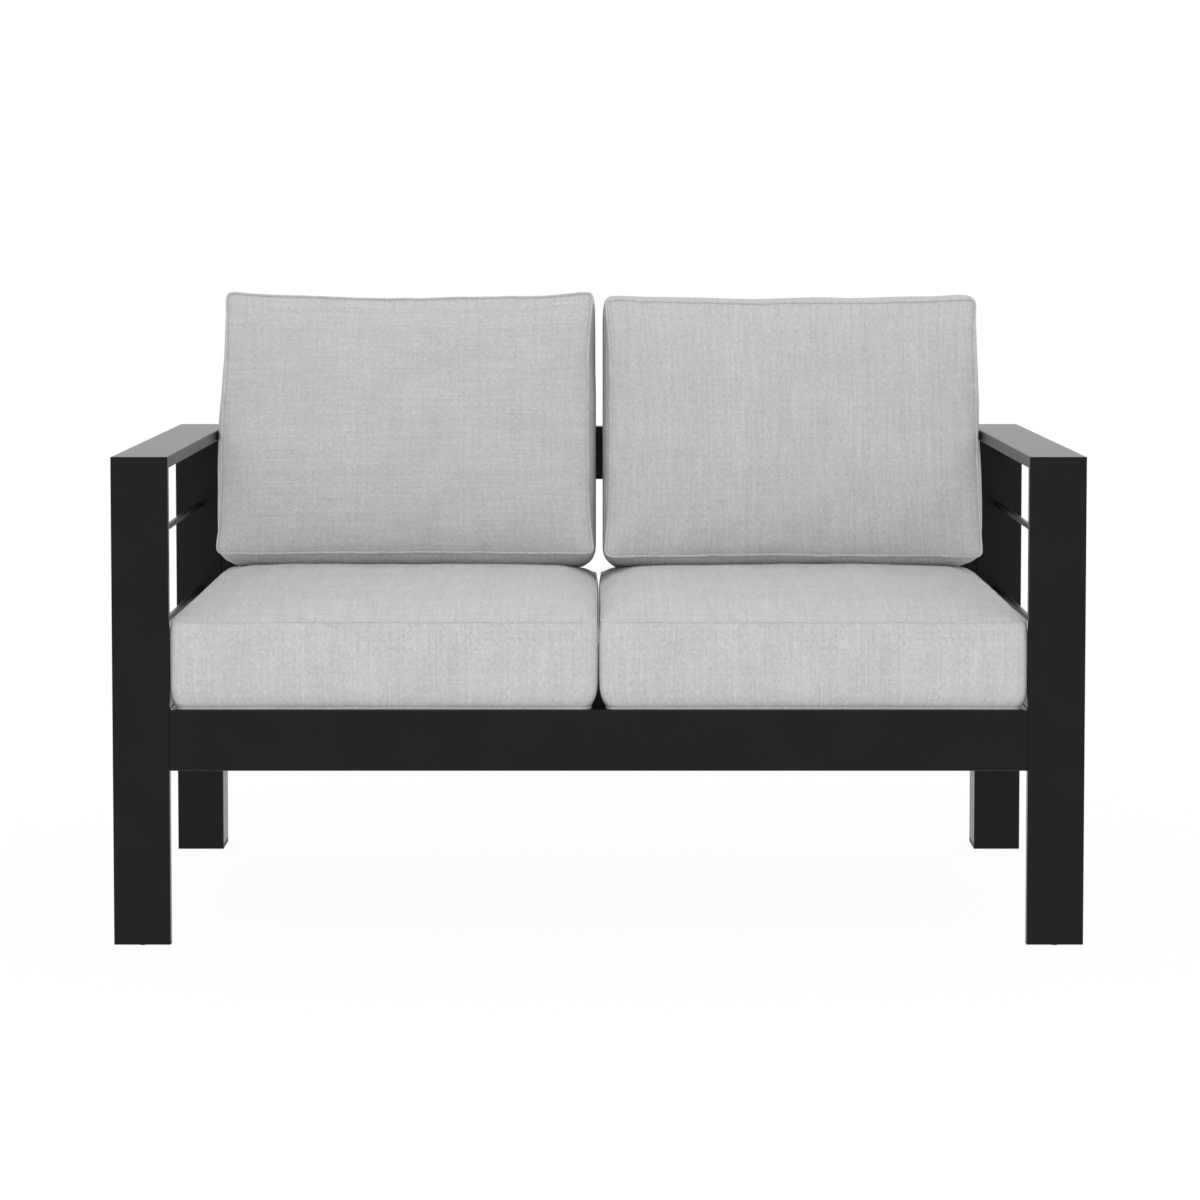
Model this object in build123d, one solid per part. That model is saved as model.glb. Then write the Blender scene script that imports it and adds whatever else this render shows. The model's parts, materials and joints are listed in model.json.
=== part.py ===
from build123d import *
import os
from math import cos, radians, sin, tan

# A two-seat patio sofa: a frame of flat aluminium tube, welded and bolted, that carries
# two loose seat cushions and two loose back cushions.
# Millimetres. +X is to the right as seen from the front, -Y is the front, +Z is up.
# The origin is on the ground, in the middle of the outer box.

# overall sizes
overall_width = 1300.0
overall_depth = 750.0
arm_top = 657.0

# flat tube of the front posts and the arms
post_width = 76.0
post_thickness = 16.0
post_wall = 2.0

# outer corner radius of every extruded tube
tube_corner_radius = 1.5

# rear legs
rear_leg_width = 70.0
rear_leg_depth = 66.0
rear_leg_wall = 2.0

# rails of the seat and of the back
seat_rail_top = 318.0
seat_rail_height = 82.0
seat_rail_thickness = 30.0
seat_rail_wall = 2.0
back_rail_height = 81.0
back_rail_thickness = 30.0
back_rail_wall = 2.0
back_upright_width = 25.0

# slim solid bars that fill each side
side_bar_width = 7.0
side_bar_height = 7.0
side_bar_corner_radius = 0.8
upper_bar_height = 538.0
lower_bar_height = 407.0

# slats under the seat
slat_count = 9
slat_width = 50.0
slat_thickness = 15.0
slat_wall = 1.5

# plate that closes the rear end of an arm
arm_plate_thickness = 2.0

# plastic caps in the legs, and the glides pressed into them
front_cap_height = 3.0
rear_cap_height = 8.0
cap_plug_length = 22.0
cap_plug_wall = 2.5
cap_clearance = 0.3
front_glide_height = 1.2
front_glide_diameter = 12.0
rear_glide_height = 3.0
rear_glide_diameter = 19.0
glide_edge_round = 1.0
glide_stem_diameter = 6.0
glide_stem_length = 10.0
glide_stem_clearance = 0.1

# brackets that tie the seat and the back rail to the sides
seat_bracket_leg = 42.0
seat_bracket_height = 50.0
seat_bracket_thickness = 4.0
seat_bolt_spacing = 30.0
back_bracket_leg = 30.0
back_bracket_height = 40.0
back_bracket_thickness = 4.0
bracket_bend_radius = 3.0

# M6 button-head bolts with washers, in rivet nuts
bolt_diameter = 6.0
bolt_length = 16.0
bolt_head_diameter = 11.0
bolt_head_height = 3.3
bolt_head_round = 1.8
hex_socket_width = 4.0
hex_socket_depth = 2.0
washer_diameter = 12.0
washer_thickness = 1.2
bolt_hole_clearance = 0.4
thread_clearance = 0.1
rivet_nut_diameter = 9.0
rivet_nut_length = 15.0
rivet_nut_bulge_diameter = 12.5
rivet_nut_bulge_length = 3.5

# seat cushions
cushion_side_gap = 1.0
cushion_rest_gap = 0.3
seat_cushion_height = 117.0
seat_cushion_depth = 674.0
seat_cushion_setback = 3.0
seat_crown = 22.0
seat_corner_radius = 24.0
seat_draw_in = 3.0
seat_widest_share = 0.5
seat_bottom_round = 13.0
seat_seam_inset = 4.0

# back cushions; their width follows from half the seat
back_cushion_slack = 16.0
back_top_taper = 12.0
back_foot_taper = 38.0
back_cushion_height = 405.0
back_cushion_thickness = 116.0
back_cushion_lean = 13.0
back_cushion_sink = 13.0
back_crown = 18.0
back_corner_radius = 20.0
back_draw_in = 6.0
back_foot_draw_in = 3.0
back_rear_round = 9.0
back_seam_inset = 4.0
back_widest_share = 0.36

# shape shared by all cushions: each station of a boxing and of a crown is a share of the
# height there, with a share of the inset
boxing_shares = [(0, 1), (0.2, 0.12), (0.5, 0), (0.8, 0.12)]
shoulder_rise_share = 0.76
shoulder_inset_share = 0.14
crest_inset_share = 0.34
corner_middle_share = 1 - cos(radians(45))

# cover, filling and zip of every cushion
cover_thickness = 1.5
core_gap = 0.3
zip_width = 24.0
zip_end_margin = 50.0
zip_slider_length = 14.0
zip_slider_width = 7.0
zip_slider_height = 2.5
zip_slider_end_gap = 12.0

# how far a cutter runs past what it cuts
overrun = 5.0

# places worked out from the sizes above
front_face = -overall_depth / 2
back_face = overall_depth / 2
outer_face = overall_width / 2
post_inner = outer_face - post_width
post_back = front_face + post_thickness
side_centre = outer_face - post_width / 2
arm_bottom = arm_top - post_thickness
rear_leg_front = back_face - rear_leg_depth
rear_leg_inner = outer_face - rear_leg_width
seat_rail_bottom = seat_rail_top - seat_rail_height
seat_rail_middle = seat_rail_top - seat_rail_height / 2
front_rail_back = front_face + seat_rail_thickness
back_rail_bottom = arm_top - back_rail_height
back_rail_back = rear_leg_front + back_rail_thickness
back_bracket_middle = (back_rail_bottom + arm_bottom) / 2

# the two sides: -1 is the left one as seen from the front
sides = {"left": -1, "right": 1}


def block(x_pair, y_pair, z_pair):
    # a box between three pairs of places
    pairs = (x_pair, y_pair, z_pair)
    middle = [(pair[0] + pair[1]) / 2 for pair in pairs]
    size = [abs(pair[1] - pair[0]) for pair in pairs]
    return Pos(*middle) * Box(*size)


def grown(pair, amount):
    # a pair of places moved apart, or together where the amount is negative
    return (min(pair) - amount, max(pair) + amount)


def around(centre, size):
    # the pair of places that a size takes about a centre
    return (centre - size / 2, centre + size / 2)


def bar(x_pair, y_pair, z_pair, radius, along):
    # a rectangular bar with round corners; along is the axis it runs on
    shape = block(x_pair, y_pair, z_pair)
    return fillet(shape.edges().filter_by((Axis.X, Axis.Y, Axis.Z)[along]), radius)


def tube(x_pair, y_pair, z_pair, wall, along):
    # a bar made hollow, and open at both ends
    pairs = (x_pair, y_pair, z_pair)
    bore = [grown(pair, overrun if axis == along else -wall) for axis, pair in enumerate(pairs)]
    return bar(*pairs, min(tube_corner_radius, wall), along) - block(*bore)


def rod(diameter, start, direction, length):
    # a round rod from a point, along a direction
    plane = Plane(origin=start, z_dir=direction)
    return plane * Cylinder(diameter / 2, length, align=(Align.CENTER, Align.CENTER, Align.MIN))


def save(shape, name):
    # several pieces in one file stay separate solids
    export_step(Compound(children=shape) if isinstance(shape, list) else shape, f"parts/{name}.step")


# where each bolt goes: the point under its washer, and the way its head looks


def seat_bracket_bolts(side):
    # two bolts on each bracket, through the leg that lies on the side rail
    inward = (seat_bracket_thickness + seat_bracket_leg) / 2
    seat = side * (post_inner - seat_bracket_thickness)
    return [
        ((seat, y, seat_rail_middle + step * seat_bolt_spacing / 2), (-side, 0, 0))
        for y in (front_rail_back + inward, rear_leg_front - inward)
        for step in (-1, 1)
    ]


def back_bracket_bolts(side):
    # one bolt into the rear leg and one into the back rail
    inward = (back_bracket_thickness + back_bracket_leg) / 2
    leg_seat = side * (rear_leg_inner - back_bracket_thickness)
    rail_seat = back_rail_back + back_bracket_thickness
    return [
        ((leg_seat, back_rail_back + inward, back_bracket_middle), (-side, 0, 0)),
        ((side * (rear_leg_inner - inward), rail_seat, back_bracket_middle), (0, 1, 0)),
    ]


def drilled(shape, bolts, diameter):
    # the shape with a hole on the line of each bolt
    reach = bolt_length + rivet_nut_length
    for seat, outward in bolts:
        start = [place + overrun * part for place, part in zip(seat, outward)]
        shape -= rod(diameter, start, [-part for part in outward], reach)
    return shape


def nut_hole_in_wall(shape, bolts, bracket_thickness, wall):
    # a rivet nut's hole goes through the near wall of a tube only
    depth = bracket_thickness + wall + overrun
    for seat, outward in bolts:
        shape -= rod(rivet_nut_diameter, seat, [-part for part in outward], depth)
    return shape


# sides of the frame


def mitre_corner(upper):
    # the half of a side's front top corner above its slanted weld, or the half below it
    high_end = (front_face - overrun, arm_top + overrun)
    low_end = (post_back + overrun, arm_bottom - overrun)
    third = (low_end[0], high_end[1]) if upper else (high_end[0], low_end[1])
    face = make_face(Plane.YZ * Polyline(high_end, low_end, third, close=True))
    return extrude(face, amount=overall_width, both=True)


def front_post(side):
    post = tube(
        (side * post_inner, side * outer_face),
        (front_face, post_back),
        (front_glide_height + front_cap_height, arm_top),
        post_wall,
        2,
    )
    return post - mitre_corner(upper=True)


def arm(side):
    flat = tube(
        (side * post_inner, side * outer_face),
        (front_face, back_face - arm_plate_thickness),
        (arm_bottom, arm_top),
        post_wall,
        1,
    )
    return flat - mitre_corner(upper=False)


def arm_end_plate(side):
    return bar(
        (side * post_inner, side * outer_face),
        (back_face - arm_plate_thickness, back_face),
        (arm_bottom, arm_top),
        tube_corner_radius,
        1,
    )


def rear_leg(side):
    leg = tube(
        (side * rear_leg_inner, side * outer_face),
        (rear_leg_front, back_face),
        (rear_glide_height + rear_cap_height, arm_bottom),
        rear_leg_wall,
        2,
    )
    return nut_hole_in_wall(leg, back_bracket_bolts(side)[:1], back_bracket_thickness, rear_leg_wall)


def side_seat_rail(side):
    rail = tube(
        (side * post_inner, side * (post_inner + seat_rail_thickness)),
        (post_back, rear_leg_front),
        (seat_rail_bottom, seat_rail_top),
        seat_rail_wall,
        1,
    )
    return nut_hole_in_wall(rail, seat_bracket_bolts(side), seat_bracket_thickness, seat_rail_wall)


def side_bar(side, height):
    return bar(
        around(side * side_centre, side_bar_width),
        (post_back, rear_leg_front),
        around(height, side_bar_height),
        side_bar_corner_radius,
        1,
    )


# rails and slats across the frame


def front_rail():
    return tube(
        (-post_inner, post_inner),
        (front_face, front_rail_back),
        (seat_rail_bottom, seat_rail_top),
        seat_rail_wall,
        0,
    )


def rear_seat_rail():
    return tube(
        (-rear_leg_inner, rear_leg_inner),
        (rear_leg_front, rear_leg_front + seat_rail_thickness),
        (seat_rail_bottom, seat_rail_top),
        seat_rail_wall,
        0,
    )


def back_rail():
    rail = tube(
        (-post_inner, post_inner),
        (rear_leg_front, back_rail_back),
        (back_rail_bottom, arm_top),
        back_rail_wall,
        0,
    )
    bolts = [back_bracket_bolts(side)[1] for side in sides.values()]
    return nut_hole_in_wall(rail, bolts, back_bracket_thickness, back_rail_wall)


def back_rail_spacer(side):
    # the plate between the back rail's end and the rear leg, under the arm
    return block(
        (side * post_inner, side * rear_leg_inner),
        (rear_leg_front, back_rail_back),
        (back_rail_bottom, arm_bottom),
    )


def back_upright(side):
    # it stands on the rear seat rail beside the rear leg, under the back rail's end
    return tube(
        around(side * (rear_leg_inner - back_upright_width / 2), back_upright_width),
        (rear_leg_front, back_rail_back),
        (seat_rail_top, back_rail_bottom),
        back_rail_wall,
        2,
    )


def slat(index):
    pitch = 2 * post_inner / slat_count
    return tube(
        around(-post_inner + pitch * (index + 1 / 2), slat_width),
        (front_rail_back, rear_leg_front),
        (seat_rail_top - slat_thickness, seat_rail_top),
        slat_wall,
        1,
    )


# brackets and fasteners


def corner_bracket(corner, side, facing, leg, thickness, height):
    # an angle with one leg across and one leg along Y, bent at a corner point
    x, y, z = corner
    across = block((x, x - side * leg), (y, y + facing * thickness), around(z, height))
    along = block((x, x - side * thickness), (y, y + facing * leg), around(z, height))
    angle = across + along
    bend = (x - side * thickness, y + facing * thickness, z)
    return fillet(angle.edges().filter_by(Axis.Z).sort_by_distance(bend)[0], bracket_bend_radius)


def seat_bracket(side, facing):
    # facing is 1 behind the front rail and -1 ahead of the rear one
    y = front_rail_back if facing > 0 else rear_leg_front
    corner = (side * post_inner, y, seat_rail_middle)
    angle = corner_bracket(
        corner, side, facing, seat_bracket_leg, seat_bracket_thickness, seat_bracket_height
    )
    return drilled(angle, seat_bracket_bolts(side), bolt_diameter + bolt_hole_clearance)


def back_bracket(side):
    corner = (side * rear_leg_inner, back_rail_back, back_bracket_middle)
    angle = corner_bracket(
        corner, side, 1, back_bracket_leg, back_bracket_thickness, back_bracket_height
    )
    return drilled(angle, back_bracket_bolts(side), bolt_diameter + bolt_hole_clearance)


def bolt():
    # head up, with the underside of the head on the washer
    align_low = (Align.CENTER, Align.CENTER, Align.MIN)
    align_high = (Align.CENTER, Align.CENTER, Align.MAX)
    head = Cylinder(bolt_head_diameter / 2, bolt_head_height, align=align_low)
    head = fillet(head.edges().sort_by(Axis.Z)[-1], bolt_head_round)
    socket = extrude(RegularPolygon(hex_socket_width / 2, 6, major_radius=False), hex_socket_depth)
    head -= Pos(0, 0, bolt_head_height - hex_socket_depth) * socket
    shank = Cylinder(bolt_diameter / 2, bolt_length, align=align_high)
    return Pos(0, 0, washer_thickness) * (head + shank)


def washer():
    align_low = (Align.CENTER, Align.CENTER, Align.MIN)
    disc = Cylinder(washer_diameter / 2, washer_thickness, align=align_low)
    hole = Cylinder((bolt_diameter + bolt_hole_clearance) / 2, washer_thickness, align=align_low)
    return disc - hole


def rivet_nut(bracket_thickness, wall):
    # flush with the outside of the wall, and swelled behind it
    align_high = (Align.CENTER, Align.CENTER, Align.MAX)
    barrel = Cylinder(rivet_nut_diameter / 2, rivet_nut_length, align=align_high)
    bulge = Cylinder(rivet_nut_bulge_diameter / 2, rivet_nut_bulge_length, align=align_high)
    bore = Cylinder(bolt_diameter / 2 + thread_clearance, rivet_nut_length, align=align_high)
    nut = barrel + Pos(0, 0, -wall) * bulge - bore
    return Pos(0, 0, -bracket_thickness) * nut


def placed(shape, seat, outward):
    return Plane(origin=seat, z_dir=outward) * shape


# feet


def leg_footprint(side, front):
    if front:
        return (side * post_inner, side * outer_face), (front_face, post_back)
    return (side * rear_leg_inner, side * outer_face), (rear_leg_front, back_face)


def foot_glide_height(front):
    # the legs end this far above the ground
    return front_glide_height if front else rear_glide_height


def middle_of(pair):
    return (pair[0] + pair[1]) / 2


def foot_cap(side, front):
    x_pair, y_pair = leg_footprint(side, front)
    wall = post_wall if front else rear_leg_wall
    height = front_cap_height if front else rear_cap_height
    leg_bottom = foot_glide_height(front)
    rim_top = leg_bottom + height
    plug = [grown(pair, -wall - cap_clearance) for pair in (x_pair, y_pair)]
    hollow = [grown(pair, -cap_plug_wall) for pair in plug]
    cap = bar(x_pair, y_pair, (leg_bottom, rim_top), tube_corner_radius, 2)
    cap += block(*plug, (rim_top, rim_top + cap_plug_length))
    cap -= block(*hollow, (rim_top, rim_top + cap_plug_length + overrun))
    foot = (middle_of(x_pair), middle_of(y_pair), leg_bottom)
    hole = glide_stem_diameter + 2 * glide_stem_clearance
    return cap - rod(hole, foot, (0, 0, 1), height)


def foot_glide(side, front):
    x_pair, y_pair = leg_footprint(side, front)
    diameter = front_glide_diameter if front else rear_glide_diameter
    height = foot_glide_height(front)
    foot = (middle_of(x_pair), middle_of(y_pair), 0)
    disc = rod(diameter, foot, (0, 0, 1), height)
    disc = fillet(disc.edges().filter_by(GeomType.CIRCLE).sort_by(Axis.Z)[0], glide_edge_round)
    return disc + rod(glide_stem_diameter, foot, (0, 0, 1), height + glide_stem_length)


# cushions, drawn lying down: x across, y from the foot edge to the top edge, z through

back_cushion_width = post_inner - back_cushion_slack

seat_cushion = {
    "foot": post_inner - 2 * cushion_side_gap,
    "widest": post_inner - 2 * cushion_side_gap - 2 * seat_draw_in,
    "top": post_inner - 2 * cushion_side_gap,
    "widest_share": seat_widest_share,
    "length": seat_cushion_depth,
    "thickness": seat_cushion_height,
    "crown": seat_crown,
    "radius": seat_corner_radius,
    "foot_draw_in": seat_draw_in,
    "top_draw_in": seat_draw_in,
    "low_inset": seat_bottom_round,
    "seam_inset": seat_seam_inset,
}

back_cushion = {
    "foot": back_cushion_width - back_foot_taper,
    "widest": back_cushion_width,
    "top": back_cushion_width - back_top_taper,
    "widest_share": back_widest_share,
    "length": back_cushion_height,
    "thickness": back_cushion_thickness,
    "crown": back_crown,
    "radius": back_corner_radius,
    "foot_draw_in": back_foot_draw_in,
    "top_draw_in": back_draw_in,
    "low_inset": back_rear_round,
    "seam_inset": back_seam_inset,
}


def cushion_outline(size, inset, height):
    # four long shallow arcs joined by four corner arcs
    radius = size["radius"]
    bend = radius * corner_middle_share
    foot = size["foot"] / 2 - inset
    side = size["widest"] / 2 - inset
    top = size["top"] / 2 - inset
    low = inset
    high = size["length"] - inset
    widest = low + radius + (high - low - 2 * radius) * size["widest_share"]
    right = [
        ((foot - radius, low), (foot - bend, low + bend), (foot, low + radius)),
        ((foot, low + radius), (side, widest), (top, high - radius)),
        ((top, high - radius), (top - bend, high - bend), (top - radius, high)),
    ]
    left = [tuple((-x, y) for x, y in reversed(arc)) for arc in reversed(right)]
    top_edge = ((top - radius, high), (0, high - size["top_draw_in"]), (radius - top, high))
    foot_edge = ((radius - foot, low), (0, low + size["foot_draw_in"]), (foot - radius, low))
    arcs = [ThreePointArc(*points) for points in right + [top_edge] + left + [foot_edge]]
    return Pos(0, 0, height) * make_face(Wire(arcs))


def cushion_body(size, shrink):
    # a boxing that is fullest between its seams, under a crowned top panel
    thickness = size["thickness"]
    across = min(size["widest"], size["length"])
    height = thickness - 2 * shrink
    boxing = [
        (shrink + height * rise, size["low_inset"] * inset) for rise, inset in boxing_shares
    ]
    boxing.append((thickness - shrink, size["seam_inset"]))
    crown = [
        boxing[-1],
        (thickness + size["crown"] * shoulder_rise_share - shrink, across * shoulder_inset_share),
        (thickness + size["crown"] - shrink, across * crest_inset_share),
    ]
    halves = [
        loft([cushion_outline(size, inset + shrink, height) for height, inset in stations])
        for stations in (boxing, crown)
    ]
    return halves[0] + halves[1]


def zip_window(size):
    # the stretch of the foot edge's boxing that the zip takes
    reach = size["low_inset"] + size["foot_draw_in"] + cover_thickness + overrun
    return block(
        around(0, size["foot"] - 2 * zip_end_margin),
        (-overrun, reach),
        around(size["thickness"] / 2, zip_width),
    )


def zip_slider(size):
    # the slider sits on the zip near one end
    start = size["foot"] / 2 - zip_end_margin - zip_slider_end_gap - zip_slider_length
    edge = size["foot_draw_in"]
    return block(
        (start, start + zip_slider_length),
        (-zip_slider_height, edge),
        around(size["thickness"] / 2, zip_slider_width),
    )


def cushion_pieces(size):
    outside = cushion_body(size, 0)
    inside = cushion_body(size, cover_thickness)
    core = cushion_body(size, cover_thickness + core_gap)
    skin = outside - inside
    window = zip_window(size)
    strip = (skin & window) + (zip_slider(size) - inside)
    return {"cover": skin - window, "core": core, "zip": strip}


def seat_cushion_place(side):
    # the foot edge is the rear one
    centre = side * post_inner / 2
    rear = front_face + seat_cushion_setback + seat_cushion_depth
    return Plane(
        origin=(centre, rear, seat_rail_top + cushion_rest_gap), x_dir=(-1, 0, 0), z_dir=(0, 0, 1)
    )


def back_cushion_place(side):
    # its rear panel leans on the back rail's front edge and its foot sits on the seat cushion
    lean = radians(back_cushion_lean)
    crest = seat_rail_top + cushion_rest_gap + seat_cushion_height + seat_crown
    foot_height = crest - back_cushion_sink
    foot_depth = rear_leg_front - (arm_top - foot_height) * tan(lean) - cushion_rest_gap / cos(lean)
    return Plane(
        origin=(side * post_inner / 2, foot_depth, foot_height),
        x_dir=(1, 0, 0),
        z_dir=(0, -cos(lean), sin(lean)),
    )


# writing every piece

for name, side in sides.items():
    save(front_post(side), f"{name}_front_post")
    save(arm(side), f"{name}_arm")
    save(arm_end_plate(side), f"{name}_arm_end_plate")
    save(rear_leg(side), f"{name}_rear_leg")
    save(side_seat_rail(side), f"{name}_side_seat_rail")
    save(side_bar(side, upper_bar_height), f"{name}_upper_side_bar")
    save(side_bar(side, lower_bar_height), f"{name}_lower_side_bar")
    save(back_rail_spacer(side), f"{name}_back_rail_spacer")
    save(back_upright(side), f"{name}_back_upright")
    save(seat_bracket(side, 1), f"{name}_front_seat_bracket")
    save(seat_bracket(side, -1), f"{name}_rear_seat_bracket")
    save(back_bracket(side), f"{name}_back_rail_bracket")
    for row, front in (("front", True), ("rear", False)):
        save(foot_cap(side, front), f"{name}_{row}_foot_cap")

save([foot_glide(side, front) for side in sides.values() for front in (True, False)], "foot_glides")
save(front_rail(), "front_seat_rail")
save(rear_seat_rail(), "rear_seat_rail")
save(back_rail(), "back_top_rail")
for index in range(slat_count):
    save(slat(index), f"seat_slat_{index + 1}")

fastener = {"bolts": [], "washers": [], "rivet_nuts": []}
for side in sides.values():
    groups = (
        (seat_bracket_bolts(side), seat_bracket_thickness, seat_rail_wall),
        (back_bracket_bolts(side)[:1], back_bracket_thickness, rear_leg_wall),
        (back_bracket_bolts(side)[1:], back_bracket_thickness, back_rail_wall),
    )
    for seats, bracket_thickness, wall in groups:
        for seat, outward in seats:
            fastener["bolts"].append(placed(bolt(), seat, outward))
            fastener["washers"].append(placed(washer(), seat, outward))
            fastener["rivet_nuts"].append(placed(rivet_nut(bracket_thickness, wall), seat, outward))
for kind, pieces in fastener.items():
    save(pieces, f"frame_{kind}")

for kind, size, place in (
    ("seat", seat_cushion, seat_cushion_place),
    ("back", back_cushion, back_cushion_place),
):
    pieces = cushion_pieces(size)
    for name, side in sides.items():
        for piece, shape in pieces.items():
            save(place(side) * shape, f"{name}_{kind}_cushion_{piece}")
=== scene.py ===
import json
import math

import bmesh
import bpy
from mathutils import Matrix, Vector, bvhtree, noise


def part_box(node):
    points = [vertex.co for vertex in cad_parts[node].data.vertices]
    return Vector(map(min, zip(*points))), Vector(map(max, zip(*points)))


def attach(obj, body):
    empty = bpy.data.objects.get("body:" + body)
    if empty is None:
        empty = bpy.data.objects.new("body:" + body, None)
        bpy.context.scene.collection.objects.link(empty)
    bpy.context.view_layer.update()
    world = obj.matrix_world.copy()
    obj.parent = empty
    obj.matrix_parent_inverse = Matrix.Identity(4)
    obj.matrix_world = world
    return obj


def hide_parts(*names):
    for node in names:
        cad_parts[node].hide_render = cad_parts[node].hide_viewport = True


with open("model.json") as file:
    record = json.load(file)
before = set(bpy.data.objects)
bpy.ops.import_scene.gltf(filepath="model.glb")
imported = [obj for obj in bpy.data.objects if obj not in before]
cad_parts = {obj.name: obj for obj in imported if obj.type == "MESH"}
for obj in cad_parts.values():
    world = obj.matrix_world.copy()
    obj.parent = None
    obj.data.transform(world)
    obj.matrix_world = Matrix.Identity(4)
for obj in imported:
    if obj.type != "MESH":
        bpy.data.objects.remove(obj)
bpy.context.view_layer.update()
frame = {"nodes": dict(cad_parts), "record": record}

mm = 0.001
tiny = 0.01 * mm
print("frame loaded:", len(frame["nodes"]), "nodes")


# camera, matched to the photo's level view of the front

cameraSettings = {
    "place": (0.0014, -4.805, 0.960),  # metres
    "downwards": 3.278,  # degrees below level
    "lens": 100.13,  # mm
    "sensor": 36,  # mm
    "shiftX": 0.00026,
    "shiftY": -0.15,
    "farEnd": 60,  # metres
}


def makeCamera(settings):
    data = bpy.data.cameras.new("camera")
    data.lens = settings["lens"]
    data.sensor_width = settings["sensor"]
    data.shift_x = settings["shiftX"]
    data.shift_y = settings["shiftY"]
    data.clip_end = settings["farEnd"]
    camera = bpy.data.objects.new("camera", data)
    camera.location = settings["place"]
    camera.rotation_euler = (math.radians(90 - settings["downwards"]), 0, 0)
    bpy.context.scene.collection.objects.link(camera)
    bpy.context.scene.camera = camera


makeCamera(cameraSettings)
print("camera set")


# material helpers

reliefStrength = 0.5


def fromHex(code):
    # sRGB hex to the linear values that the shader wants
    parts = [int(code[i:i + 2], 16) / 255 for i in (1, 3, 5)]
    linear = [c / 12.92 if c <= 0.04045 else ((c + 0.055) / 1.055) ** 2.4 for c in parts]
    return (*linear, 1)


def addNode(tree, kind, settings=None, links=None):
    # settings are node attributes, or values of inputs by name or number; links are inputs by
    # name or number with the socket that each reads, or a node, which stands for its first output
    node = tree.nodes.new(kind)
    for key, value in (settings or {}).items():
        if isinstance(key, int) or key in node.inputs:
            node.inputs[key].default_value = value
        else:
            setattr(node, key, value)
    for key, source in (links or {}).items():
        socket = source.outputs[0] if isinstance(source, bpy.types.Node) else source
        tree.links.new(socket, node.inputs[key])
    return node


def newMaterial(name, values):
    # values are plain ones for the shader's sockets, by name
    material = bpy.data.materials.new(name)
    material.use_nodes = True
    tree = material.node_tree
    shader = tree.nodes["Principled BSDF"]
    for socket, value in values.items():
        shader.inputs[socket].default_value = value
    return material, tree, shader


def dressSurface(tree, shader, settings, tone, height):
    # the tone chooses among the colours, each at its place on the scale, and the height is
    # felt as a fine relief
    scale = addNode(tree, "ShaderNodeValToRGB", links={"Fac": tone})
    stops = scale.color_ramp.elements
    while len(stops) < len(settings["colours"]):
        stops.new(0.5)
    for stop, place, colour in zip(stops, settings["tones"], settings["colours"]):
        stop.position = place
        stop.color = fromHex(colour)
    depth = {"Strength": reliefStrength, "Distance": settings["depth"]}
    relief = addNode(tree, "ShaderNodeBump", depth, {"Height": height})
    tree.links.new(scale.outputs["Color"], shader.inputs["Base Color"])
    tree.links.new(relief.outputs["Normal"], shader.inputs["Normal"])


# black powder coat on extruded aluminium: baked polyester, matt, with a fine orange-peel skin

powderSettings = {
    "colours": ("#0a0a0a", "#0e0e0e"),  # the second is where the coat lies thinner
    "tones": (0.3, 0.75),  # where the clouds turn one colour and then the other
    "cloudSize": 90 * mm,
    "cloudDetail": 3,
    "shine": 0.19,
    "roughness": 0.28,
    "grainSize": 1.1 * mm,
    "grainDetail": 1,
    "depth": 0.02 * mm,
}

# black moulded polypropylene of the leg caps and glides: slightly waxy, with a fine grain

plasticSettings = {
    "colours": ("#080808", "#0c0c0c"),
    "tones": (0.3, 0.8),
    "cloudSize": 0.8 * mm,
    "cloudDetail": 2,
    "shine": 0.2,
    "roughness": 0.5,
    "grainSize": 0.8 * mm,
    "grainDetail": 2,
    "depth": 0.03 * mm,
}


def makeSkin(name, settings):
    # two close colours in clouds, over a fine relief
    values = {"Roughness": settings["roughness"], "Specular IOR Level": settings["shine"]}
    material, tree, shader = newMaterial(name, values)
    place = addNode(tree, "ShaderNodeTexCoord").outputs["Object"]
    coarse = {"Scale": 1 / settings["cloudSize"], "Detail": settings["cloudDetail"]}
    cloud = addNode(tree, "ShaderNodeTexNoise", coarse, {"Vector": place})
    fine = {"Scale": 1 / settings["grainSize"], "Detail": settings["grainDetail"]}
    grain = addNode(tree, "ShaderNodeTexNoise", fine, {"Vector": place})
    dressSurface(tree, shader, settings, cloud, grain)
    return material


# woven outdoor acrylic or polyester, heathered: every yarn mixes light and dark fibre, and
# thicker slubs run both ways, so it is matt, soft at the rim and never one flat grey

fabricSettings = {
    "colours": ("#b3b3b3", "#c0c0c0", "#cdcdcc"),
    "tones": (0.43, 0.55, 0.67),
    "yarn": 1.7 * mm,  # about three times as coarse as the real weave, to show from the camera
    "slub": 3.1 * mm,
    "warpLength": 8 * mm,
    "weftLength": 7 * mm,
    "slubLength": 12,  # in lengths of the finer yarns
    "slubShare": 0.38,
    "yarnSpread": 0.13,  # how much one yarn differs from the next
    "fibreDetail": 3,
    "fibreRoughness": 0.65,
    "weaveShare": 0.88,
    "cloudShare": 0.1,
    "cloudSize": 70 * mm,
    "cloudDetail": 2,
    "depth": 0.3 * mm,
    "roughness": 0.92,
    "sheen": 0.08,
    "sheenRoughness": 0.5,
    "shine": 0.15,
}

# where each set of yarns reads its noise, so that no two sets are alike
yarnSeeds = {"warp": 5.5, "weft": 91.5, "slub": 40, "reach": 800}


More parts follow.
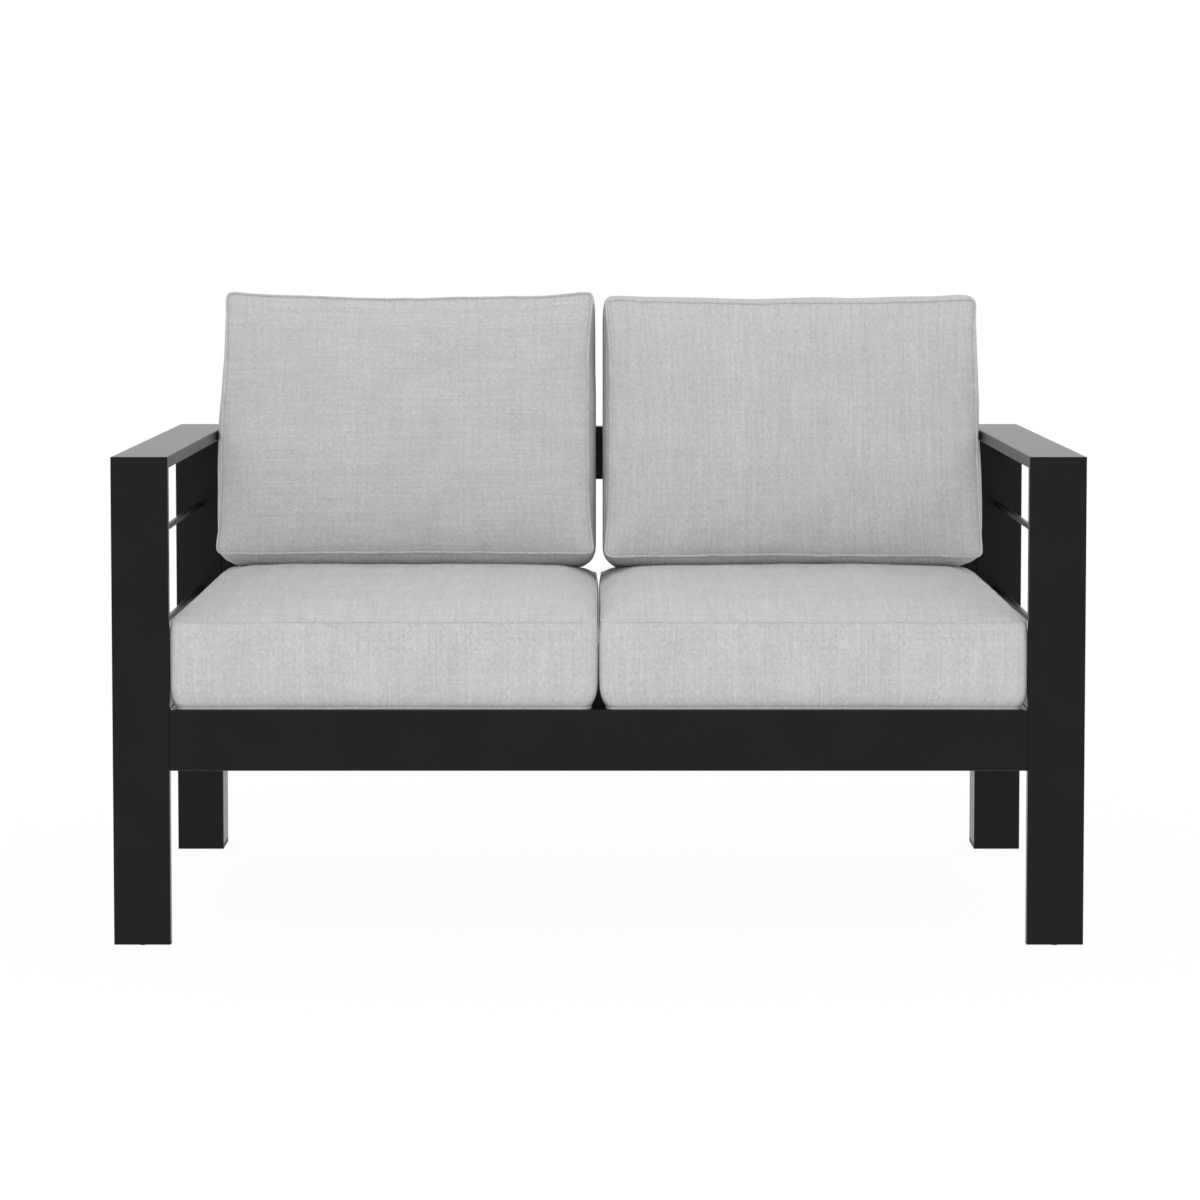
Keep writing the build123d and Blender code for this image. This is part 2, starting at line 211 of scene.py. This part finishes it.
def addYarns(tree, settings, across, along, width, length, seed):
    # every yarn is a line of noise of its own, so slubs start and stop at random
    maths = "ShaderNodeMath"
    yarn = addNode(tree, maths, {"operation": "DIVIDE", 1: width}, {0: across})
    whole = addNode(tree, maths, {"operation": "FLOOR"}, {0: yarn})
    number = addNode(tree, maths, {"operation": "ADD", 1: seed}, {0: whole})
    chance = addNode(tree, "ShaderNodeTexWhiteNoise", {"noise_dimensions": "1D"}, {"W": number})
    lengths = addNode(tree, maths, {"operation": "DIVIDE", 1: length}, {0: along})
    shift = {"operation": "MULTIPLY_ADD", 1: yarnSeeds["reach"]}
    run = addNode(tree, maths, shift, {0: chance, 2: lengths})
    fibre = {
        "noise_dimensions": "1D",
        "Scale": 1,
        "Detail": settings["fibreDetail"],
        "Roughness": settings["fibreRoughness"],
    }
    thickness = addNode(tree, "ShaderNodeTexNoise", fibre, {"W": run})
    spread = {"operation": "MULTIPLY_ADD", 1: settings["yarnSpread"]}
    return addNode(tree, maths, spread, {0: chance, 2: thickness})


def makeFabric(settings, name, surface, warpShare=0.5):
    values = {
        "Roughness": settings["roughness"],
        "Sheen Weight": settings["sheen"],
        "Sheen Roughness": settings["sheenRoughness"],
        "Specular IOR Level": settings["shine"],
    }
    material, tree, shader = newMaterial(name, values)
    place = addNode(tree, "ShaderNodeTexCoord").outputs[surface]
    split = addNode(tree, "ShaderNodeSeparateXYZ", links={"Vector": place})
    x, y = split.outputs["X"], split.outputs["Y"]
    layers = []
    for across, along, way in ((x, y, "warp"), (y, x, "weft")):
        length = settings[way + "Length"]
        seed = yarnSeeds[way]
        yarns = addYarns(tree, settings, across, along, settings["yarn"], length, seed)
        slubLength = length * settings["slubLength"]
        slubSeed = seed + yarnSeeds["slub"]
        slubs = addYarns(tree, settings, across, along, settings["slub"], slubLength, slubSeed)
        slubShare = {"Factor": settings["slubShare"]}
        layers.append(addNode(tree, "ShaderNodeMix", slubShare, {"A": yarns, "B": slubs}))
    warp, weft = layers
    weave = addNode(tree, "ShaderNodeMix", {"Factor": 1 - warpShare}, {"A": warp, "B": weft})
    coarse = {"Scale": 1 / settings["cloudSize"], "Detail": settings["cloudDetail"]}
    cloud = addNode(tree, "ShaderNodeTexNoise", coarse, {"Vector": place})
    weaveShare = {"operation": "MULTIPLY", 1: settings["weaveShare"]}
    cloudShare = {"operation": "MULTIPLY_ADD", 1: settings["cloudShare"]}
    woven = addNode(tree, "ShaderNodeMath", weaveShare, {0: weave})
    tone = addNode(tree, "ShaderNodeMath", cloudShare, {0: cloud, 2: woven})
    dressSurface(tree, shader, settings, tone, weave)
    return material


# stainless steel of the bolts, washers and rivet nuts, turned and lightly brushed

steelSettings = {
    "colour": "#b9b8b4",
    "roughness": (0.24, 0.44),
    "lineWidth": 0.25 * mm,
    "lineDetail": 1,
}


def makeSteel(settings):
    values = {"Base Color": fromHex(settings["colour"]), "Metallic": 1}
    material, tree, shader = newMaterial("turnedStainlessSteel", values)
    place = addNode(tree, "ShaderNodeTexCoord").outputs["Object"]
    fine = {"Scale": 1 / settings["lineWidth"], "Detail": settings["lineDetail"]}
    lines = addNode(tree, "ShaderNodeTexNoise", fine, {"Vector": place})
    low, high = settings["roughness"]
    rough = addNode(tree, "ShaderNodeMapRange", {"To Min": low, "To Max": high}, {"Value": lines})
    tree.links.new(rough.outputs["Result"], shader.inputs["Roughness"])
    return material


# the left back cushion is cut with its strong slubs across, the other covers with them upright
slubsUpright = 0.64
slubsAcross = 0.38

# the zips' tape is darker, with finer yarns
tapeSettings = fabricSettings | {
    "colours": ("#747474", "#808080", "#8b8b8b"),
    "yarn": 0.6 * mm,
    "slub": 1.2 * mm,
}

powderCoat = makeSkin("powderCoatedAluminium", powderSettings)
plastic = makeSkin("mouldedPolypropylene", plasticSettings)
uprightFabric = makeFabric(fabricSettings, "heatheredFabricWarpUp", "UV", slubsUpright)
acrossFabric = makeFabric(fabricSettings, "heatheredFabricWeftUp", "UV", slubsAcross)
pipingFabric = makeFabric(fabricSettings, "heatheredPipingFabric", "Object")
zipTape = makeFabric(tapeSettings, "wovenZipTape", "Object")
steel = makeSteel(steelSettings)
print("materials made")


# the frame keeps its CAD shapes and takes these finishes

finishes = {
    "frame_powder_coat": powderCoat,
    "bracket_steel": powderCoat,
    "fastener_steel": steel,
    "foot_plastic": plastic,
    "cushion_fabric": pipingFabric,
    "cushion_filling": pipingFabric,
    "zip_tape": zipTape,
}


def finishFrame():
    for part in frame["record"]["subparts"]:
        node = frame["nodes"][part["node"]]
        node.data.materials.clear()
        node.data.materials.append(finishes[part["material_slot"]])


finishFrame()
print("frame finished")


# cushions: each is drawn lying flat, x across, y from its foot edge to its top edge and z
# through it from the rear panel to the front one, then puffed by cloth simulation, and only
# then turned into its place; a seat cushion's foot edge is its rear one, and its front panel
# is its top; pairs of radii and tapers are for the rear and the front panel, and pairs of
# side insets for the arm's side and the other one

seatCushion = {
    "thickness": 117 * mm,
    "cell": 10 * mm,
    "widen": 1.2 * mm,  # the covers are soft, so neighbours touch
    "pressed": 2 * mm,  # against the arm's side, which flattens the boxing
    "sideInset": (3 * mm, 3 * mm),  # of the front seam, from the boxing's fullest line
    "cornerShare": (1, 1),  # what is left of the side and top insets at the corners
    "topInset": 3 * mm,
    "footInset": 3 * mm,
    "rearInset": 11 * mm,  # of the rear seam: at the sides, and at the ends
    "rearEndInset": 6 * mm,
    "insetPower": 5,
    "footRadius": (14 * mm, 14 * mm),
    "topRadius": (11 * mm, 10 * mm),
    "footTaper": (0, 0),  # how much narrower the outline gets
    "topTaper": (0, 0),
    "outerShare": 0.5,
    "widest": 0.5,  # share of the length, from the foot edge
    "footDrawIn": 3 * mm,  # of the middle of an edge, between its corners
    "topDrawIn": 2 * mm,
    "footBelly": 0,
    "crown": 15 * mm,
    "dome": 6 * mm,  # over the whole panel, besides the crown
    "domeSpread": 4,  # more is flatter across
    "rearCrown": 0,
    "crownReach": (33 * mm, 90 * mm),  # across and along
    "lumps": 1.6 * mm,
    "pucker": 0.5 * mm,  # of the cloth beside its seams
    "cap": 5 * mm,  # on how far the simulation moves a point
    "frontPiping": 0.8 * mm,
    "rearPiping": 2 * mm,
    "fill": 0.8,
    "seed": 1,  # of its lumps and puckers
}

backCushion = {
    "length": 405 * mm,
    "longer": 0,
    "thickness": 116 * mm,
    "cell": 10 * mm,
    "widen": 5 * mm,
    "outward": 2.5 * mm,
    "sideInset": (10 * mm, 12 * mm),
    "cornerShare": (0.15, 0.15),
    "topInset": 5 * mm,
    "footInset": 6 * mm,
    "rearInset": 6 * mm,
    "rearEndInset": 6 * mm,
    "insetPower": 3,
    "footRadius": (24 * mm, 8 * mm),
    "topRadius": (14 * mm, 7 * mm),
    "footTaper": (13 * mm, 3 * mm),
    "topTaper": (13 * mm, 13 * mm),
    "outerShare": 0.85,  # of the tapers, the share on the arm's side
    "widest": 0.34,
    "footDrawIn": 3 * mm,
    "topDrawIn": 6 * mm,
    "footBelly": 13 * mm,
    "crown": 17 * mm,
    "dome": 6 * mm,
    "domeSpread": 2,
    "rearCrown": 12 * mm,
    "crownReach": (130 * mm, 110 * mm),
    "lumps": 2.2 * mm,
    "pucker": 2 * mm,
    "cap": 12 * mm,
    "frontPiping": 1.9 * mm,
    "rearPiping": 1.9 * mm,
    "fill": 0.75,
    "seed": 5,
}

# no two filled covers are alike
ownShapes = {
    "right_back_cushion": {
        "outward": 4 * mm,
        "cornerShare": (0.15, 0.85),
        "topInset": 17 * mm,
        "footInset": 2 * mm,
        "topRadius": (26 * mm, 8 * mm),
        "topTaper": (6 * mm, 6 * mm),
        "topDrawIn": 5 * mm,
        "longer": 4 * mm,
        "seed": 6,
    },
    "right_seat_cushion": {"crown": 14 * mm, "seed": 2},
}

# powers with which parts of the shape fade from where they are strongest
fades = {
    "topTaper": 1.8,
    "footTaper": 2.6,
    "sideCorner": 4,
    "topCorner": 6,
    "fold": 40,
    "belly": 6,
    "crown": 0.6,
}

# lumps of the filling, and the cloth gathered along the seams
lumpSizes = (110 * mm, 50 * mm)
smallLumpShare = 0.5
puckerSize = 26 * mm
puckerReach = 14 * mm
seedStep = Vector((1.7, 0.9, 2.3))

# the cover's cloth and the pressure of the filling in it
clothSettings = {
    "quality": 4,
    "mass": 0.25,
    "tension_stiffness": 20,
    "compression_stiffness": 20,
    "shear_stiffness": 8,
    "bending_stiffness": 3,
    "use_pressure": True,
    "uniform_pressure_force": 2.5,
}
puffFrames = 16
seamCrease = 0.5

# how the cushions sit
backLean = math.radians(13)
backSink = 13.9 * mm  # of the back cushion's foot, below the top of the seat cushion's cover
restGap = 0.3 * mm
pressGap = 0.8 * mm  # between the seat cushion's top and the back cushion's foot
frontBulge = 2 * mm
rearBulge = 1 * mm
railSlope = 4  # of the room behind the rear panel, above the back rail
footReach = 60 * mm  # so far below and above the seat's top, the foot is looked for

# the zip in the foot edge's boxing, set back in a fold of the cover
zipSettings = {
    "endMargin": 50 * mm,
    "tapeWidth": 24 * mm,
    "tapeThickness": 0.5 * mm,
    "fold": 4 * mm,
    "step": 9 * mm,  # of the tape's faces along it
    "rows": 4,  # of faces across it
    "toothPitch": 2.4 * mm,
    "toothLength": 3.4 * mm,
    "toothWidth": 1.5 * mm,
    "toothHeight": 1.3 * mm,
    "toothShift": 0.32,  # of its length, from the zip's middle line
    "lift": 0.4 * mm,
    "start": 100 * mm,  # from so far outside, the cover's surface is looked for
    "sliderSize": (11 * mm, 2.6 * mm, 8 * mm),
    "sliderEdge": 0.8 * mm,
    "pullSize": (22 * mm, 1.2 * mm, 6 * mm),
    "pullEdge": 0.4 * mm,
}


def makePanelBox(width, length, thickness, cell):
    # a box cut into small cells, with the cloth's own flat coordinates kept
    bm = bmesh.new()
    bmesh.ops.create_cube(bm, size=1)
    bmesh.ops.scale(bm, vec=(width, length, thickness), verts=bm.verts)
    bmesh.ops.translate(bm, vec=(0, length / 2, thickness / 2), verts=bm.verts)
    for axis, size, low in ((0, width, -width / 2), (1, length, 0), (2, thickness, 0)):
        count = round(size / cell)
        normal = Vector((axis == 0, axis == 1, axis == 2))
        for index in range(1, count):
            everything = bm.verts[:] + bm.edges[:] + bm.faces[:]
            place = normal * (low + size * index / count)
            bmesh.ops.bisect_plane(
                bm, geom=everything, plane_co=place, plane_no=normal, dist=tiny / 100
            )
    flat = bm.loops.layers.uv.new("cloth")
    stepAcross, stepUp = 0.9, 0.7  # keep each panel's cloth apart from the next one's
    for face in bm.faces:
        normal = face.normal
        panel = round(normal.x) + 2 * round(normal.y) + 3 * round(normal.z)
        for loop in face.loops:
            x, y, z = loop.vert.co
            if abs(normal.z) > 0.5:
                across, up = x, y
            elif abs(normal.y) > 0.5:
                across, up = x, z
            else:
                across, up = z, y
            loop[flat].uv = (across + stepAcross * panel, up + stepUp * panel)
    return bm


def mix(pair, share):
    return pair[0] + (pair[1] - pair[0]) * share


def roundCorner(x, up, width, length, radius):
    # moves a point of an outline with square corners onto one with round corners
    sideways = abs(x) - (width / 2 - radius)
    lengthways = abs(up) - (length / 2 - radius)
    if sideways <= 0 or lengthways <= 0:
        return x, up
    pull = max(sideways, lengthways) / math.hypot(sideways, lengthways)
    x = math.copysign(width / 2 - radius + sideways * pull, x)
    up = math.copysign(length / 2 - radius + lengthways * pull, up)
    return x, up


def taperAt(b, c, shape, onOuterSide):
    # how much the outline narrows above and below its widest line
    widest = shape["widest"]
    if b > widest:
        taper = mix(shape["topTaper"], c) * ((b - widest) / (1 - widest)) ** fades["topTaper"]
    else:
        taper = mix(shape["footTaper"], c) * ((widest - b) / widest) ** fades["footTaper"]
    return taper * (shape["outerShare"] if onOuterSide else 1 - shape["outerShare"])


def insetsAt(a, b, c, shape, onOuterSide, onTop):
    # how far each seam lies inside the boxing's fullest line, at the sides and at the ends
    nearFront = max(0, 2 * c - 1) ** shape["insetPower"]
    nearRear = max(0, 1 - 2 * c) ** shape["insetPower"]
    sideCorner, topCorner = shape["cornerShare"]
    besideCorner = (2 * b - 1) ** fades["sideCorner"]
    side = shape["sideInset"][0 if onOuterSide else 1] * mix((1, sideCorner), besideCorner)
    if onTop:
        end = shape["topInset"] * mix((1, topCorner), a ** fades["topCorner"])
    else:
        end = shape["footInset"]
    flatFoot = not onTop and shape["rearCrown"] > 0
    rearEnd = 0 if flatFoot else shape["rearEndInset"]
    return nearFront * side + nearRear * shape["rearInset"], nearFront * end + nearRear * rearEnd


def footShift(a, b, c, shape):
    # the zip's fold in the foot's boxing, and the bulge where the foot rests, fullest two
    # thirds of the way to the front seam
    foldWidth = zipSettings["tapeWidth"] / shape["thickness"]
    fold = zipSettings["fold"] * max(0, 1 - abs(2 * c - 1) / foldWidth) * (1 - b) ** fades["fold"]
    fullness = 27 / 4 * c * c * (1 - c)
    spread = (1 - a ** fades["belly"]) * (1 - b) ** fades["belly"]
    return fold - shape["footBelly"] * fullness * spread


def crownAt(point, size, shape):
    # how full the panels are, 0 at their edges and 1 well inside
    gaps = (size[0] / 2 - abs(point.x), size[1] / 2 - abs(point.y - size[1] / 2))
    near = [min(1, max(0, gap) / far) for gap, far in zip(gaps, shape["crownReach"])]
    return math.prod((1 - (1 - share) ** 2) ** fades["crown"] for share in near)


def shapeCushion(point, size, shape, outer):
    # moves a point of the flat box to where the sewn cover holds it before it is filled;
    # a runs across from -1 to 1, b from the foot edge to the top edge, c from rear to front
    width, length, thickness = size
    x, y, z = point
    a = 2 * x / width
    b = y / length
    c = z / thickness
    onOuterSide = x * outer > 0
    radii = shape["footRadius"] if b < 0.5 else shape["topRadius"]
    radius = mix(radii, 1 - math.sqrt(max(0, 1 - c)))
    x, up = roundCorner(x, y - length / 2, width, length, radius)
    onTop = up > 0
    x *= 1 - 2 * taperAt(b, c, shape, onOuterSide) / width
    sideInset, endInset = insetsAt(a, b, c, shape, onOuterSide, onTop)
    x *= 1 - 2 * sideInset / width
    up *= 1 - 2 * endInset / length
    drawIn = shape["topDrawIn"] if onTop else shape["footDrawIn"]
    up -= math.copysign(drawIn * (1 - a * a) * (2 * abs(up) / length) ** 2, up)
    if up < 0:
        up += footShift(a, b, c, shape)
    rise = crownAt(point, size, shape)
    # the dome is highest a quarter of the way up from the foot edge
    domeRise = 4 * math.sqrt(b) * (1 - math.sqrt(b))
    dome = shape["dome"] * (1 - abs(a) ** shape["domeSpread"]) * domeRise
    z += c * (rise * shape["crown"] + dome) - (1 - c) * rise * shape["rearCrown"]
    return Vector((x, up + length / 2, z))


def unevenness(point, size, shape, shift):
    # how far the filling and the gathered seams push a point out
    large, small = (noise.noise(point / lumpSize + shift) for lumpSize in lumpSizes)
    fromSide = max(0, size[0] / 2 - abs(point.x))
    fromEnd = max(0, size[1] / 2 - abs(point.y - size[1] / 2))
    fromPanel = max(0, size[2] / 2 - abs(point.z - size[2] / 2))
    fromSeam = min(fromSide, fromEnd) + fromPanel
    gather = noise.noise(point / puckerSize + shift) * math.exp(-fromSeam / puckerReach)
    return (large + smallLumpShare * small) * shape["lumps"] + gather * shape["pucker"]


def puff(piece, cap):
    # pressure fills the cover between its pinned seams
    scene = bpy.context.scene
    start = [vertex.co.copy() for vertex in piece.data.vertices]
    modifier = piece.modifiers.new("puff", "CLOTH")
    for name, value in clothSettings.items():
        setattr(modifier.settings, name, value)
    modifier.settings.vertex_group_mass = "sewn"
    modifier.settings.effector_weights.gravity = 0
    modifier.point_cache.frame_end = puffFrames
    for number in range(1, puffFrames + 1):
        scene.frame_set(number)
    filled = piece.evaluated_get(bpy.context.evaluated_depsgraph_get())
    moved = [vertex.co.copy() for vertex in filled.data.vertices]
    piece.modifiers.remove(modifier)
    scene.frame_set(1)
    for vertex, old, new in zip(piece.data.vertices, start, moved):
        step = new - old
        vertex.co = old + step * min(1, cap / max(step.length, tiny))


def linkPiece(mesh, body, material):
    piece = bpy.data.objects.new(mesh.name, mesh)
    bpy.context.scene.collection.objects.link(piece)
    mesh.materials.append(material)
    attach(piece, body)
    return piece


def makePiping(name, path, radius, body):
    # a welt of the same cloth along a seam
    curve = bpy.data.curves.new(name, "CURVE")
    curve.dimensions = "3D"
    curve.bevel_depth = radius
    curve.bevel_resolution = 3
    spline = curve.splines.new("NURBS")
    spline.points.add(len(path) - 1)
    for point, place in zip(spline.points, path):
        point.co = (*place, 1)
    spline.order_u = 3
    spline.use_cyclic_u = True
    spline.resolution_u = 2
    holder = bpy.data.objects.new(name + "_path", curve)
    bpy.context.scene.collection.objects.link(holder)
    view = bpy.context.evaluated_depsgraph_get()
    mesh = bpy.data.meshes.new_from_object(holder.evaluated_get(view))
    mesh.name = name
    bpy.data.objects.remove(holder)
    mesh.materials.clear()
    for face in mesh.polygons:
        face.use_smooth = True
    linkPiece(mesh, body, pipingFabric)


def seamLoop(bm, height):
    # the vertices of the closed seam at one height, in order; its edges are creased
    crease = bm.edges.layers.float.get("crease_edge")
    seam = []
    for edge in bm.edges:
        level = all(abs(vertex.co.z - height) < tiny for vertex in edge.verts)
        if level and any(abs(face.normal.z) < 0.5 for face in edge.link_faces):
            edge[crease] = seamCrease
            seam.append(edge)
    start, previous = seam[0].verts[0], seam[0]
    loop, vertex = [start], seam[0].other_vert(start)
    seam = set(seam)
    while vertex != start:
        loop.append(vertex)
        previous = next(edge for edge in vertex.link_edges if edge in seam and edge != previous)
        vertex = previous.other_vert(vertex)
    return [vertex.index for vertex in loop]


def outerSign(name):
    # the way to the arm along a cushion's own x axis, which points left on a seat cushion
    rightwards = 1 if name.startswith("right") else -1
    return -rightwards if "seat" in name else rightwards


def makeCushion(name, shape, size, matrix, keepClear):
    bm = makePanelBox(*size, shape["cell"])
    bm.verts.index_update()
    bm.edges.layers.float.new("crease_edge")
    front = seamLoop(bm, size[2])
    rear = seamLoop(bm, 0)
    restsFlat = "seat" in name
    flatBottom = [v.index for v in bm.verts if v.co.z < tiny] if restsFlat else []
    shift = seedStep * shape["seed"]
    for vertex in bm.verts:
        outward = vertex.normal.copy()
        free = vertex.index not in flatBottom
        push = unevenness(vertex.co, size, shape, shift) if free else 0
        vertex.co = shapeCushion(vertex.co, size, shape, outerSign(name)) + outward * push
    mesh = bpy.data.meshes.new(name + "_fabric")
    bm.to_mesh(mesh)
    bm.free()
    fabric = acrossFabric if name == "left_back_cushion" else uprightFabric
    piece = linkPiece(mesh, name, fabric)
    sewn = piece.vertex_groups.new(name="sewn")
    sewn.add(front + rear + flatBottom, 1, "REPLACE")
    puff(piece, shape["cap"])
    for vertex in mesh.vertices:
        vertex.co = keepClear(vertex.co)
    for face in mesh.polygons:
        face.use_smooth = True
    mesh.transform(matrix)
    mesh.update()
    smooth = piece.modifiers.new("finer", "SUBSURF")
    smooth.levels = smooth.render_levels = 1
    addPiping(piece, name, shape, front, rear)
    makeZip(name, size, matrix, piece)
    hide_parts(name + "_cover", name + "_core")
    return piece


def addPiping(cover, name, shape, front, rear):
    # both welts follow the finished cover and are sewn a little into it
    sewnIn = 0.15
    finer = cover.evaluated_get(bpy.context.evaluated_depsgraph_get()).data.vertices
    for which, loop in (("front", front), ("rear", rear)):
        radius = shape[which + "Piping"]
        path = [finer[i].co + finer[i].normal * radius * sewnIn for i in loop]
        makePiping(f"{name}_{which}_piping", path, radius, name)


def addBlock(bm, axes, centre, size, edge=0):
    # a small block turned like the cushion it sits on
    place = Matrix.Translation(centre) @ axes.to_4x4() @ Matrix.Diagonal((*size, 1))
    verts = bmesh.ops.create_cube(bm, size=1, matrix=place)["verts"]
    if edge:
        bmesh.ops.bevel(
            bm,
            geom=list({side for vertex in verts for side in vertex.link_edges}),
            offset=edge,
            offset_type="OFFSET",
            affect="EDGES",
            segments=2,
            profile=0.5,
            material=-1,
        )


def makeZip(name, size, matrix, cover):
    # tape, two rows of teeth, and a slider with its pull near one end
    settings = zipSettings
    surface = bvhtree.BVHTree.FromObject(cover, bpy.context.evaluated_depsgraph_get())
    axes = matrix.to_3x3()
    outward = axes @ Vector((0, -1, 0))
    middle = size[2] / 2
    half = size[0] / 2 - settings["endMargin"]

    def onCover(x, z, lift):
        start = matrix @ Vector((x, -settings["start"], z))
        return surface.ray_cast(start, -outward)[0] + outward * lift

    tape = bmesh.new()
    columns = round(2 * half / settings["step"])
    spread = Matrix.Diagonal((half, settings["tapeWidth"] / 2, 1, 1))
    bmesh.ops.create_grid(
        tape, x_segments=columns, y_segments=settings["rows"], size=1, matrix=spread
    )
    for vertex in tape.verts:
        vertex.co = onCover(vertex.co.x, middle + vertex.co.y, settings["lift"])
    bmesh.ops.recalc_face_normals(tape, faces=tape.faces)

    teeth = bmesh.new()
    tooth = (settings["toothWidth"], settings["toothHeight"], settings["toothLength"])
    lift = settings["lift"] + settings["toothHeight"] / 2
    shift = axes @ Vector((0, 0, settings["toothLength"] * settings["toothShift"]))
    for index in range(round(2 * half / settings["toothPitch"])):
        x = -half + settings["toothPitch"] * (index + 0.5)
        side = 1 if index % 2 else -1
        addBlock(teeth, axes, onCover(x, middle, lift) + shift * side, tooth)

    slider = bmesh.new()
    sliderSize, pullSize = settings["sliderSize"], settings["pullSize"]
    x = half - sliderSize[0]
    lift = settings["lift"] + settings["toothHeight"] + sliderSize[1] / 2
    addBlock(slider, axes, onCover(x, middle, lift), sliderSize, settings["sliderEdge"])
    x -= (sliderSize[0] + pullSize[0]) / 2
    addBlock(slider, axes, onCover(x, middle, lift), pullSize, settings["pullEdge"])

    pieces = (("tape", tape, zipTape), ("teeth", teeth, plastic), ("slider", slider, steel))
    for part, bm, material in pieces:
        mesh = bpy.data.meshes.new(f"{name}_zip_{part}")
        bm.to_mesh(mesh)
        bm.free()
        piece = linkPiece(mesh, name, material)
        if part == "tape":
            thick = piece.modifiers.new("thick", "SOLIDIFY")
            thick.thickness = settings["tapeThickness"]
            thick.offset = 0
            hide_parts(name + "_zip")


def seatPlace(name, shape):
    low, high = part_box(name + "_cover")
    width = high.x - low.x + shape["widen"] + 2 * shape["pressed"]
    middle = (low.x + high.x) / 2
    middle += math.copysign(shape["pressed"], middle)
    axes = Matrix(((-1, 0, 0), (0, -1, 0), (0, 0, 1))).to_4x4()
    place = Matrix.Translation((middle, high.y, low.z)) @ axes
    return (width, high.y - low.y, shape["thickness"]), place


def backPlace(name, shape):
    # the foot sits in the seat cushion and the rear panel leans on the back rail
    low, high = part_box(name + "_cover")
    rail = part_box("back_top_rail")
    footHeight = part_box(name.replace("back", "seat") + "_cover")[1].z - backSink
    lean, rise = math.sin(backLean), math.cos(backLean)
    footDepth = rail[0].y - (rail[1].z - footHeight) * lean / rise - restGap / rise
    axes = Matrix(((1, 0, 0), (0, lean, -rise), (0, rise, lean))).to_4x4()
    size = (high.x - low.x + shape["widen"], shape["length"] + shape["longer"], shape["thickness"])
    middle = (low.x + high.x) / 2
    middle += math.copysign(shape["outward"], middle)
    return size, Matrix.Translation((middle, footDepth, footHeight)) @ axes


def keepSeatClear(size, pressed, outer):
    # the boxing flattens where it meets a post or the other cushion, and the base on the slats
    def keep(point):
        out = max(-size[0] / 2, min(size[0] / 2 - 2 * pressed, point.x * outer))
        y = max(-rearBulge, min(size[1] + frontBulge, point.y))
        return Vector((out * outer, y, max(0, point.z)))
    return keep


def keepBackClear(size, contact):
    # the rear panel dents over the back rail's front edge
    def keep(point):
        x = max(-size[0] / 2, min(size[0] / 2, point.x))
        above = point.y - contact
        room = above * railSlope if above > 0 else -above * math.sin(backLean)
        return Vector((x, point.y, max(point.z, -room)))
    return keep


def sinkUnder(seat, back):
    # the seat's top gives way under the back cushion's foot
    upper = bvhtree.BVHTree.FromObject(back, bpy.context.evaluated_depsgraph_get())
    upwards = Vector((0, 0, 1))
    facesUp = 0.3
    for vertex in seat.data.vertices:
        if vertex.normal.z > facesUp:
            hit = upper.ray_cast(vertex.co - upwards * footReach, upwards, 2 * footReach)[0]
            if hit is not None:
                vertex.co.z = min(vertex.co.z, hit.z - pressGap)
    seat.data.update()


def makeCushions():
    for side in ("left", "right"):
        name = side + "_seat_cushion"
        shape = seatCushion | ownShapes.get(name, {})
        size, matrix = seatPlace(name, shape)
        keepClear = keepSeatClear(size, shape["pressed"], outerSign(name))
        seat = makeCushion(name, shape, size, matrix, keepClear)
        print("made", name)
        name = side + "_back_cushion"
        shape = backCushion | ownShapes.get(name, {})
        size, matrix = backPlace(name, shape)
        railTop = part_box("back_top_rail")[1].z
        contact = (railTop - matrix.translation.z) / math.cos(backLean)
        back = makeCushion(name, shape, size, matrix, keepBackClear(size, contact))
        sinkUnder(seat, back)
        print("made", name)


makeCushions()


# studio: a pale seamless floor and soft light

studio = {
    "white": "#ffffff",
    "floorRadius": 14,
    "floorSides": 96,
    "floor": "#fafafa",
    "floorGlow": 0.95,
    "floorRoughness": 0.9,
    "world": 1,
    "keyPower": 12,
    "keySize": 2.6,
    "keyPlace": (-0.4, -2.8, 2.6),
    "keyAim": (0, 0, 0.4),
}


def makeFloor(settings):
    bm = bmesh.new()
    bmesh.ops.create_circle(
        bm, cap_ends=True, segments=settings["floorSides"], radius=settings["floorRadius"]
    )
    mesh = bpy.data.meshes.new("studio_floor")
    bm.to_mesh(mesh)
    bm.free()
    floor = bpy.data.objects.new("studio_floor", mesh)
    bpy.context.scene.collection.objects.link(floor)
    glow = settings["floorGlow"]
    values = {
        "Base Color": (*[value * (1 - glow) for value in fromHex(settings["floor"])[:3]], 1),
        "Roughness": settings["floorRoughness"],
        "Specular IOR Level": 0,
        "Emission Color": fromHex(settings["white"]),
        "Emission Strength": glow,
    }
    mesh.materials.append(newMaterial("paleStudioFloor", values)[0])


def makeLight(settings):
    scene = bpy.context.scene
    scene.view_settings.view_transform = "Standard"
    world = bpy.data.worlds.new("studio_world")
    world.use_nodes = True
    background = world.node_tree.nodes["Background"]
    background.inputs["Color"].default_value = fromHex(settings["white"])
    background.inputs["Strength"].default_value = settings["world"]
    scene.world = world

    key = bpy.data.lights.new("overhead_softbox", "AREA")
    key.energy = settings["keyPower"]
    key.shape = "SQUARE"
    key.size = settings["keySize"]
    lamp = bpy.data.objects.new("overhead_softbox", key)
    lamp.location = settings["keyPlace"]
    aim = Vector(settings["keyAim"]) - lamp.location
    lamp.rotation_euler = aim.to_track_quat("-Z", "Y").to_euler()
    scene.collection.objects.link(lamp)


makeFloor(studio)
makeLight(studio)
print("studio lit")
